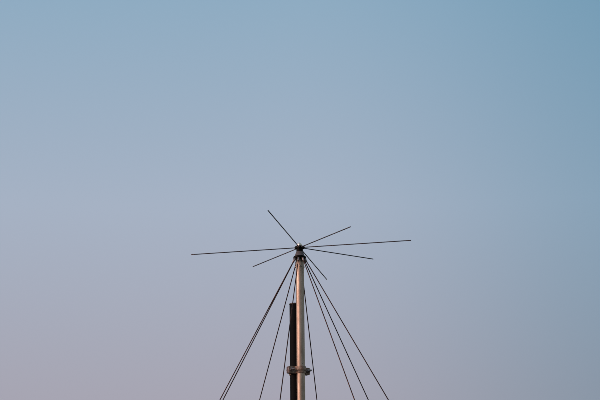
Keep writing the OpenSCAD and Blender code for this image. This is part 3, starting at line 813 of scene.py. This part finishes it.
def nut(across, height, bore, sink):
    """A hexagon nut on zero, chamfered at both faces and countersunk at both ends of its bore."""
    return revolved(stacked(
        (bore, sink), (bore + sink, 0),
        *hexagon(across, 0, height),
        (bore + sink, height), (bore, height - sink),
    ), steps=48, flats=6, flat_reach=across / 2)


zinc_plating = zinc()
for level in ("upper", "lower"):
    bolts_low, bolts_high = span(level + "_bolts")
    nuts_low, nuts_high = span(level + "_nuts")
    bolt_z = (bolts_low[2] + bolts_high[2]) / 2
    seat_y = bolts_high[1] - bolt_head
    washer_radius = span(level + "_washers")[1][0] - bolt_spacing / 2
    washer = tube(washer_bore, washer_radius, 0, washer_thickness, washer_edges, steps=48)
    bolts, nuts, washers = [], [], []
    for side, spin in ((-1, 0.35), (1, 0.8)):
        x = side * bolt_spacing / 2
        bolts.append(aimed(bolt(seat_y - bolts_low[1]), (x, seat_y, bolt_z), forwards, spin))
        nuts.append(aimed(nut(bolt_across, nuts_high[1] - nuts_low[1], nut_bore, nut_sink),
                          (x, nuts_high[1], bolt_z), forwards, spin * 2.3))
        for washer_y in (seat_y, nuts_high[1] + washer_thickness):
            washers.append(aimed(washer, (x, washer_y, bolt_z), forwards))
    piece_of(level + "_hex_bolts", bolts, zinc_plating, [level + "_bolts"])
    piece_of(level + "_hex_nuts", nuts, zinc_plating, [level + "_nuts"])
    piece_of(level + "_flat_washers", washers, zinc_plating, [level + "_washers"])


# Support pipe. Drawn aluminium tube, left bare. Its skin keeps the die's fine lengthwise lines, and the
# weather has dulled it in patches and left a few dark pits.
pipe_radius = pipe_high[0]
pipe_wall = 1.8 * MM


def drawn_aluminium():
    """Bare drawn aluminium: satin metal with lengthwise die lines, warm-grey oxide in long patches that
    scatters more light, sparse dark pits of dirt, and runs of darker colour just below the hub.
    The die lines are drawn wider than real ones, so that they show."""
    line_width = 0.7 * MM
    line_length = 120 * MM
    patch_size = 22 * MM
    pit_spacing = 16 * MM
    pit_fringe = 0.9 * MM
    run_width = 3 * MM
    darkening_reach = 14 * MM
    finish = new_material("weathered_drawn_aluminium")
    place = add(finish, "TexCoord").outputs["Object"]
    along_lines = (1 / line_width, 1 / line_width, 1 / line_length)
    stretched = add(finish, "Mapping", {"Vector": place, "Scale": along_lines})
    lines = add(finish, "TexNoise", {"Vector": stretched, "Scale": 1.0, "Detail": 3.0})
    long_place = add(finish, "Mapping", {"Vector": place, "Scale": (1.0, 1.0, 0.35)})
    patches = add(finish, "TexNoise", {"Vector": long_place, "Scale": 1 / patch_size, "Detail": 7.0,
                                       "Roughness": 0.6})
    oxide = add(finish, "ValToRGB", {"Fac": patches}, [(0.34, "c0b2a8"), (0.68, "9c9086")])
    streak = add(finish, "MixRGB", {"Fac": 0.35, "Color1": oxide, "Color2": lines}, blend_type="OVERLAY")
    cells = add(finish, "TexVoronoi", {"Vector": place, "Scale": 1 / pit_spacing})
    chance = add(finish, "SeparateColor", {"Color": cells.outputs["Color"]})
    size = add(finish, "MapRange", {"Value": chance.outputs["Red"], "From Min": 0.55, "From Max": 1.0,
                                    "To Max": 0.1})
    ragged = add(finish, "TexNoise", {"Vector": place, "Scale": 1 / pit_fringe, "Detail": 4.0})
    frayed = add(finish, "Math", {0: ragged, 1: 0.16, 2: cells.outputs["Distance"]},
                 operation="MULTIPLY_ADD")
    depth = add(finish, "Math", {0: size, 1: frayed}, operation="SUBTRACT")
    inside = add(finish, "MapRange", {"Value": depth, "From Min": -0.08, "From Max": -0.05})
    height = add(finish, "SeparateXYZ", {"Vector": place})
    # The pipe's top 14 mm turns darker below the hub, in lengthwise runs.
    run_place = add(finish, "Mapping", {"Vector": place, "Scale": (1.0, 1.0, 0.12)})
    runs = add(finish, "TexNoise", {"Vector": run_place, "Scale": 1 / run_width, "Detail": 5.0})
    below = add(finish, "MapRange", {"Value": height.outputs["Z"], "From Min": pipe_high[2] - darkening_reach,
                                     "From Max": pipe_high[2] - darkening_reach / 4})
    darker_runs = add(finish, "Math", {0: runs, 1: 0.7, 2: below}, operation="MULTIPLY_ADD")
    darkening_under_hub = add(finish, "MapRange", {"Value": darker_runs, "From Min": 0.55, "From Max": 1.1, "To Max": 0.85})
    pits_and_darkening = add(finish, "Math", {0: inside, 1: darkening_under_hub}, operation="MAXIMUM")
    colour = add(finish, "MixRGB", {"Fac": pits_and_darkening, "Color1": streak, "Color2": "40352d"})
    metal = add(finish, "MapRange", {"Value": pits_and_darkening, "To Min": 1.0, "To Max": 0.2})
    dull = add(finish, "MapRange", {"Value": patches, "From Min": 0.3, "From Max": 0.7, "To Min": 0.46,
                                    "To Max": 0.62})
    bump = add(finish, "Bump", {"Height": lines, "Strength": 0.35, "Distance": 0.05 * MM})
    return surface(finish, {"Base Color": colour, "Metallic": metal, "Roughness": dull, "Normal": bump})


pipe_edges = np.array([0.5, 0.5, 0.3, 0.3]) * MM
pipe_place = np.array([0, pipe_y, 0])
pipe = tube(pipe_radius - pipe_wall, pipe_radius, pipe_low[2], pipe_high[2], pipe_edges, steps=128)
piece_of("support_pipe_drawn", [pipe + pipe_place], drawn_aluminium(), ["support_pipe"])


# Pipe screws. Stainless screws with a pan head and a cross recess. Four of them go through the pipe into
# the spigot inside it.
screws_low, screws_high = span("pipe_screws")
screw_z = (screws_low[2] + screws_high[2]) / 2
screw_head_radius = 3.6 * MM
screw_radius = 2 * MM
screw_head_height = 2 * MM
screw_sink = 0.6 * MM
screw_length = 4.2 * MM
recess_width = 0.75 * MM
recess_reach = 2.0 * MM
recess_depth = 1.2 * MM
recess_flank = 0.25 * MM
recess_end = 0.35 * MM
screw_edges = np.array([0, 0.3, 0, 0.3, 0, 0]) * MM
screw_bearings = np.radians(67.5 + 90 * np.arange(4))


def outwards(bearing):
    """The level unit direction at that bearing, (cos, sin, 0)."""
    return np.array([math.cos(bearing), math.sin(bearing), 0])


def pan_head():
    """A screw along +z with its seat on zero. From its middle the head's top falls as
    h (1 - 0.5 (r / R)^4), and the cross sinks into it within an arm's width and reach."""
    steps = 72
    a = np.linspace(0, 2 * np.pi, steps, endpoint=False)
    r = np.linspace(0, 1, 34)[:, None] * screw_head_radius
    x, y = np.abs(r * np.cos(a)), np.abs(r * np.sin(a))
    arms = [np.clip((recess_width - wide) / recess_flank, 0, 1)
            * np.clip((recess_reach - far) / recess_end, 0, 1) for wide, far in ((x, y), (y, x))]
    top = screw_head_height * (1 - 0.5 * (r / screw_head_radius) ** 4)
    z = top - recess_depth * np.maximum(*arms)
    crown = np.stack([r * np.cos(a), r * np.sin(a), z], axis=-1)
    shank = eased([(screw_head_radius, screw_head_height / 2), (screw_head_radius, -screw_sink),
                   (screw_radius, -screw_sink), (screw_radius, -screw_length), (0, -screw_length),
                   (0, screw_head_height / 2)], screw_edges)
    # The crown takes the place of the last corner's five rows and of the row that closes the outline.
    return np.concatenate([crown, revolved(shank.T, steps)[:-6]])


def stainless():
    """Stainless steel, turned and left bare: a clean grey metal with faint stains."""
    stain_size = 4 * MM
    finish = new_material("stained_stainless_steel")
    place = add(finish, "TexCoord").outputs["Object"]
    stains = add(finish, "TexNoise", {"Vector": place, "Scale": 1 / stain_size, "Detail": 7.0,
                                      "Roughness": 0.6})
    colour = add(finish, "ValToRGB", {"Fac": stains}, [(0.35, "a19d97"), (0.7, "6f655a")])
    dull = add(finish, "MapRange", {"Value": stains, "To Min": 0.22, "To Max": 0.48})
    return surface(finish, {"Base Color": colour, "Metallic": 1.0, "Roughness": dull})


bare_stainless = stainless()
screws = []
for bearing, spin in zip(screw_bearings, (0.3, 1.1, 0.6, 0.2)):
    out = outwards(bearing)
    screws.append(aimed(pan_head(), pipe_place + out * pipe_radius + upright * screw_z, out, spin))
piece_of("cross_head_screws", screws, bare_stainless, ["pipe_screws"])


# Feed socket. Turned brass, tinned, with a coarse thread outside for the cable's coupling nut. It screws
# into the cone hub from below and is seen only by looking up the pipe.
socket_low, socket_high = span("feed_socket")
socket_radius = 7.95 * MM
socket_flange = 10.6 * MM
socket_barrel = 18 * MM
socket_nipple = 8 * MM
socket_pitch = 1.06 * MM
socket_depth = 0.6 * MM
socket_lead = 0.5 * MM
socket_neck = 1 * MM
socket_bore = 6.35 * MM
bore_depth = 12 * MM
nipple_radius = 7.9 * MM
nipple_edge = 0.4 * MM
contact_radius = 3 * MM
contact_bore = 2 * MM
contact_sink = 2 * MM


def tinned_brass():
    """Tinned brass: soft silvery metal, yellowish where the brass shows through."""
    patch_size = 5 * MM
    finish = new_material("tinned_brass")
    place = add(finish, "TexCoord").outputs["Object"]
    worn = add(finish, "TexNoise", {"Vector": place, "Scale": 1 / patch_size, "Detail": 6.0})
    colour = add(finish, "ValToRGB", {"Fac": worn}, [(0.4, "c4c0b5"), (0.75, "b09a62")])
    dull = add(finish, "MapRange", {"Value": worn, "To Min": 0.18, "To Max": 0.4})
    return surface(finish, {"Base Color": colour, "Metallic": 1.0, "Roughness": dull})


barrel_bottom = socket_low[2]
flange_bottom = barrel_bottom + socket_barrel
flange_top = socket_high[2] - socket_nipple
bore_end = barrel_bottom + bore_depth
contact_end = barrel_bottom + contact_sink
socket_thread = thread(socket_radius, socket_pitch, socket_depth, barrel_bottom + socket_lead,
                       flange_bottom - socket_neck - 2 * thread_gap, 72)
socket_rows = stacked(
    (0, socket_high[2]), (nipple_radius - nipple_edge, socket_high[2]),
    (nipple_radius, socket_high[2] - nipple_edge), (nipple_radius, flange_top),
    (socket_flange - broken_edge, flange_top), (socket_flange, flange_top - broken_edge),
    (socket_flange, flange_bottom + broken_edge), (socket_flange - broken_edge, flange_bottom),
    (socket_radius - socket_depth, flange_bottom),
    (socket_radius - socket_depth, flange_bottom - socket_neck),
    tuple(rows[::-1] for rows in socket_thread),
    (socket_radius - socket_lead, barrel_bottom), (socket_bore + broken_edge, barrel_bottom),
    (socket_bore, barrel_bottom + broken_edge), (socket_bore, bore_end), (contact_radius, bore_end),
    (contact_radius, contact_end + broken_edge), (contact_radius - broken_edge, contact_end),
    (contact_bore, contact_end), (contact_bore, bore_end), (0, bore_end),
)
piece_of("feed_socket_turned", [revolved(socket_rows, 72)[:-1] + pipe_place], tinned_brass(),
         ["feed_socket"])


# Cone hub. Turned from aluminium bar and anodised black, with a spot face and a tapped hole for each
# cone rod. The CAD node has that shape, so it stays and only gets its finish.
def black_anodising():
    """Black anodised aluminium: a hard satin black with the lathe's fine rings, rubbed grey at the edges.
    The rings are drawn wider than real ones, so that they show."""
    ring_width = 0.5 * MM
    cloud_size = 6 * MM
    edge_reach = 0.6 * MM
    finish = new_material("black_anodised_aluminium")
    place = add(finish, "TexCoord").outputs["Object"]
    centred = add(finish, "Mapping", {"Vector": place, "Location": (0, -pipe_y, 0)})
    split = add(finish, "SeparateXYZ", {"Vector": centred})
    flat = add(finish, "CombineXYZ", {"X": split.outputs["X"], "Y": split.outputs["Y"]})
    out = add(finish, "VectorMath", {0: flat}, operation="LENGTH")
    cone_path = add(finish, "Math", {0: out.outputs["Value"], 1: split.outputs["Z"]}, operation="ADD")
    ring_count = add(finish, "Math", {0: cone_path, 1: 2 * math.pi / ring_width}, operation="MULTIPLY")
    rings = add(finish, "Math", {0: ring_count}, operation="SINE")
    clouds = add(finish, "TexNoise", {"Vector": place, "Scale": 1 / cloud_size, "Detail": 6.0})
    at_edge = edge_wear(finish, edge_reach, 0.98, 0.84, 0.5)
    rubbed = add(finish, "Math", {0: at_edge, 1: clouds}, operation="MULTIPLY")
    colour = add(finish, "MixRGB", {"Fac": rubbed, "Color1": "050506", "Color2": "4a4648"})
    metal = add(finish, "MapRange", {"Value": rubbed, "From Min": 0.1, "From Max": 0.4})
    dull = add(finish, "MapRange", {"Value": clouds, "To Min": 0.4, "To Max": 0.6})
    bump = add(finish, "Bump", {"Height": rings, "Strength": 0.25, "Distance": 0.012 * MM})
    return surface(finish, {"Base Color": colour, "Metallic": metal, "Roughness": dull,
                            "Specular IOR Level": 0.06, "Normal": bump})


def refinish(node, material):
    """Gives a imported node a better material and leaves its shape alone."""
    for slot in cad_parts[node].material_slots:
        slot.material = material


anodised = black_anodising()
refinish("cone_hub", anodised)


# Cone rods. Eight drawn stainless rods screw squarely into the hub's bevel, each with a lock nut and then
# a swaged ferrule. The rods' deep brown is painted shade, warmed as a painted reflection of the warm
# lamp, and the plated nuts and ferrules are lighter.
rod_radius = (rod_high[2] - rod_low[2]) / 2
cone_angle = math.radians(29)
cone_exit_radius = 16.3 * MM
cone_exit_z = pipe_high[2] + (cone_exit_radius - pipe_radius) * math.tan(cone_angle)
cone_rod_length = 850 * MM
cone_root = 5.7 * MM
root_radius = 2 * MM
root_pitch = 0.7 * MM
root_depth = 0.4 * MM
cone_nut_across = 7 * MM
cone_nut_height = 3.2 * MM
cone_nut_sink = 0.4 * MM
spot_face = 0.3 * MM
ferrule_gap = 0.2 * MM
ferrule_start = cone_nut_height - spot_face + ferrule_gap
ferrule_length = 9 * MM
ferrule_radius = 3 * MM
ferrule_bore = rod_radius - 0.05 * MM
ferrule_taper = 2 * MM
ferrule_lip = 0.5 * MM
place_step = math.radians(45)


def shade_painted_stainless(name, light, dark):
    """Drawn stainless rod, darkened as painted shade: a fine grain, darker and rougher in bands."""
    band_size = 40 * MM
    grain_size = 0.6 * MM
    finish = new_material(name)
    place = add(finish, "TexCoord").outputs["Object"]
    bands = add(finish, "TexNoise", {"Vector": place, "Scale": 1 / band_size, "Detail": 8.0,
                                     "Roughness": 0.7})
    colour = add(finish, "ValToRGB", {"Fac": bands}, [(0.35, light), (0.62, dark)])
    dull = add(finish, "MapRange", {"Value": bands, "To Min": 0.4, "To Max": 0.6})
    grain = add(finish, "TexNoise", {"Vector": place, "Scale": 1 / grain_size, "Detail": 2.0})
    bump = add(finish, "Bump", {"Height": grain, "Strength": 0.25, "Distance": 0.03 * MM})
    return surface(finish, {"Base Color": colour, "Metallic": 0.7, "Roughness": dull,
                            "Specular IOR Level": 0.3, "Normal": bump})


def round_tip(length):
    """Rows of a rod's round end: a quarter of a circle up to that length."""
    b = np.linspace(0, np.pi / 2, 6)
    return rod_radius * np.cos(b), length - rod_radius + rod_radius * np.sin(b)


def cone_rod():
    """A cone rod along +z from the hub's bevel: threaded root, thin rod and round tip."""
    steps = 24
    return revolved(stacked(
        (0, -cone_root), (root_radius - root_depth, -cone_root),
        thread(root_radius, root_pitch, root_depth, 2 * thread_gap - cone_root,
               ferrule_start - thread_gap, steps),
        (root_radius, ferrule_start), (rod_radius, ferrule_start + broken_edge),
        round_tip(cone_rod_length),
    ), steps)[:-1]


def ferrule():
    """The sleeve on a cone rod, with a broken edge at the nut and a taper down the rod."""
    end = ferrule_start + ferrule_length
    return revolved(stacked(
        (ferrule_bore, ferrule_start), (ferrule_radius - broken_edge, ferrule_start),
        (ferrule_radius, ferrule_start + broken_edge), (ferrule_radius, end - ferrule_taper),
        (rod_radius + ferrule_lip, end), (ferrule_bore, end),
    ), 24)


# Painted shade: dark brown colours for the cone rods, warmed as a painted reflection.
cone_rod_shade_paint = shade_painted_stainless("darkened_stainless_cone_rod", "4e352f", "231819")
cone_nuts, ferrules = [], []
for place_number in range(1, 9):
    out = outwards(place_step * (place_number - 1))
    down_and_out = out * math.sin(cone_angle) - upright * math.cos(cone_angle)
    exit_point = pipe_place + out * cone_exit_radius + upright * cone_exit_z
    piece_of("cone_rod_%d_drawn" % place_number, [aimed(cone_rod(), exit_point, down_and_out)],
             cone_rod_shade_paint, ["cone_rod_%d" % place_number])
    cone_nuts.append(aimed(nut(cone_nut_across, cone_nut_height, root_radius, cone_nut_sink),
                           exit_point - down_and_out * spot_face, down_and_out, 0.4 * place_number))
    ferrules.append(aimed(ferrule(), exit_point, down_and_out))
piece_of("cone_rod_lock_nuts", cone_nuts, zinc_plating, ["cone_lock_nuts"])
piece_of("cone_rod_ferrules", ferrules, zinc_plating)


# Insulator. Grey glass-filled nylon, moulded as a cone with a rim that sheds rain, and a long spigot
# that keeps the stud away from the cone hub.
insulator_low, insulator_high = span("insulator")
insulator_radius = insulator_high[0]
neck_radius = 10.3 * MM
neck_edge = 0.8 * MM
rim_width = 1.5 * MM
rim_height = 1.4 * MM
rim_slope = 0.6 * MM
insulator_cone = 15 * MM
insulator_top = insulator_high[2]
insulator_base = insulator_top - insulator_cone
insulator_spigot = 8 * MM
insulator_edges = np.array([0.2, 0.3, 0.5, 0.5, 0.4, 0.4, 0, 0.3, 0.5, 0.2]) * MM
stud_bore = 4.1 * MM


def nylon():
    """Glass-filled nylon: matt dark grey with the fine roughness of its fibres, lighter where the sun has
    bleached it. The fibres are drawn thicker than real ones, so that they show."""
    bleach_size = 8 * MM
    fibre_size = 0.35 * MM
    finish = new_material("grey_glass_filled_nylon")
    place = add(finish, "TexCoord").outputs["Object"]
    bleach = add(finish, "TexNoise", {"Vector": place, "Scale": 1 / bleach_size, "Detail": 6.0,
                                      "Roughness": 0.6})
    fibres = add(finish, "TexNoise", {"Vector": place, "Scale": 1 / fibre_size, "Detail": 3.0})
    colour = add(finish, "ValToRGB", {"Fac": bleach}, [(0.35, "4a4a50"), (0.7, "56555b")])
    bump = add(finish, "Bump", {"Height": fibres, "Strength": 0.4, "Distance": 0.04 * MM})
    return surface(finish, {"Base Color": colour, "Roughness": 0.7, "IOR": 1.53,
                            "Specular IOR Level": 0.3, "Normal": bump})


insulator_outline = eased([
    (stud_bore, insulator_top), (neck_radius, insulator_top),
    (neck_radius + neck_edge, insulator_top - neck_edge),
    (insulator_radius - rim_slope, insulator_base + rim_height + rim_slope),
    (insulator_radius, insulator_base + rim_height), (insulator_radius, insulator_base),
    (insulator_radius - rim_width, insulator_base), (insulator_spigot, insulator_base),
    (insulator_spigot, insulator_low[2]), (stud_bore, insulator_low[2]),
], insulator_edges)
piece_of("insulator_moulded", [revolved(insulator_outline.T, 96) + pipe_place], nylon(),
         ["insulator"])


# Disc hub and stud. The hub is turned and anodised like the cone hub, with a milled flat and a tapped
# hole at each rod place. One hole is empty, and its thread shows. The stud through the head is hidden.
refinish("disc_hub", anodised)
refinish("centre_stud", bare_stainless)
hub_flat_radius = span("disc_hub")[1][0]
rod_hole = 7 * MM
rod_pitch = 0.5 * MM
rod_thread_depth = 0.28 * MM
lining_bore = rod_radius + 0.08 * MM
lining_radius = rod_radius + 0.12 * MM
empty_place = 5


def spare_thread():
    """The lining of the empty hole: a thin sleeve whose inside is a thread."""
    steps = 24
    lining = thread(lining_bore, rod_pitch, rod_thread_depth, 2 * thread_gap, rod_hole - 3 * thread_gap,
                    steps)
    return revolved(stacked(
        (lining_radius, thread_gap), lining, (lining_radius, rod_hole - 2 * thread_gap),
    ), steps)


spare_out = outwards(place_step * (empty_place - 1))
spare_start = pipe_place + spare_out * (hub_flat_radius - rod_hole) + upright * disc_z
piece_of("spare_hole_thread", [aimed(spare_thread(), spare_start, spare_out)], bare_stainless)


# Disc rods. Seven rods of the same drawn stainless, threaded at one end and screwed level into the hub,
# each with a lock nut.
disc_nut_across = 5.5 * MM
disc_nut_height = 2.4 * MM
disc_thread_end = 8 * MM


def disc_rod(length):
    """A disc rod along +z from the hub's flat: threaded root, thin rod and round tip."""
    steps = 24
    return revolved(stacked(
        (0, broken_edge - rod_hole), (rod_radius - broken_edge, broken_edge - rod_hole),
        thread(rod_radius, rod_pitch, rod_thread_depth, broken_edge + thread_gap - rod_hole,
               disc_thread_end, steps),
        round_tip(length),
    ), steps)[:-1]


# Painted shade: dark blue-grey colours for the disc rods, cooled as a painted reflection.
disc_rod_shade_paint = shade_painted_stainless("darkened_stainless_disc_rod", "68666e", "393940")
disc_nuts = []
for place_number in [number for number in range(1, 9) if number != empty_place]:
    out = outwards(place_step * (place_number - 1))
    low, high = span("disc_rod_%d" % place_number)
    tip = np.where(out > 0, high, low) - pipe_place
    reach = np.abs(tip[:2]).max() / np.abs(out[:2]).max()
    flat_point = pipe_place + out * hub_flat_radius + upright * disc_z
    rod = aimed(disc_rod(reach - hub_flat_radius), flat_point, out)
    piece_of("disc_rod_%d_drawn" % place_number, [rod], disc_rod_shade_paint,
             ["disc_rod_%d" % place_number])
    disc_nuts.append(aimed(nut(disc_nut_across, disc_nut_height, rod_radius, broken_edge), flat_point,
                           out, 0.7 * place_number))
piece_of("disc_rod_lock_nuts", disc_nuts, zinc_plating, ["disc_lock_nuts"])


# Cap nut. Turned from brass, with six flats and a dome, then polished and chromium plated. It draws the
# whole head together.
cap_low, cap_high = span("cap_nut")
cap_across = 13 * MM
cap_flats = 6.5 * MM
cap_dome = 5.85 * MM
cap_bore_depth = 9 * MM
cap_sink = 0.5 * MM
dome_foot_width = 0.15 * MM
dome_foot_height = 0.2 * MM
cap_turn = math.radians(16)


def chromium():
    """Chromium plating on brass: mirror bright, hazy in patches, with the ripple that polishing leaves."""
    haze_size = 2.5 * MM
    finish = new_material("chromium_plated_brass")
    place = add(finish, "TexCoord").outputs["Object"]
    haze = add(finish, "TexNoise", {"Vector": place, "Scale": 1 / haze_size, "Detail": 8.0,
                                    "Roughness": 0.7})
    dull = add(finish, "MapRange", {"Value": haze, "From Min": 0.3, "From Max": 0.7, "To Min": 0.12,
                                    "To Max": 0.3})
    bump = add(finish, "Bump", {"Height": haze, "Strength": 0.2, "Distance": 0.03 * MM})
    return surface(finish, {"Base Color": "d9d4cd", "Metallic": 1.0, "Roughness": dull, "Normal": bump})


cap_bottom = cap_low[2]
cap_bore_end = cap_bottom + cap_bore_depth
cap_flats_end = cap_bottom + cap_flats
cap_shoulder = cap_high[2] - cap_dome
dome = np.linspace(0, np.pi / 2, 20)
cap_rows = stacked(
    (stud_bore, cap_bore_end), (stud_bore, cap_bottom + cap_sink), (stud_bore + cap_sink, cap_bottom),
    *hexagon(cap_across, cap_bottom, cap_flats_end),
    (cap_dome + dome_foot_width, cap_flats_end), (cap_dome, cap_flats_end + dome_foot_height),
    (cap_dome * np.cos(dome), cap_shoulder + cap_dome * np.sin(dome)),
)
closing = revolved(stacked((0, cap_bore_end), (stud_bore, cap_bore_end)), 96)[:2]
cap_walls = revolved(cap_rows, 96, flats=6, flat_reach=cap_across / 2)
cap_grid = np.concatenate([closing, cap_walls[:-1]])
piece_of("domed_cap_nut", [turned_by(cap_grid, cap_turn) + pipe_place], chromium(),
         ["cap_nut"])
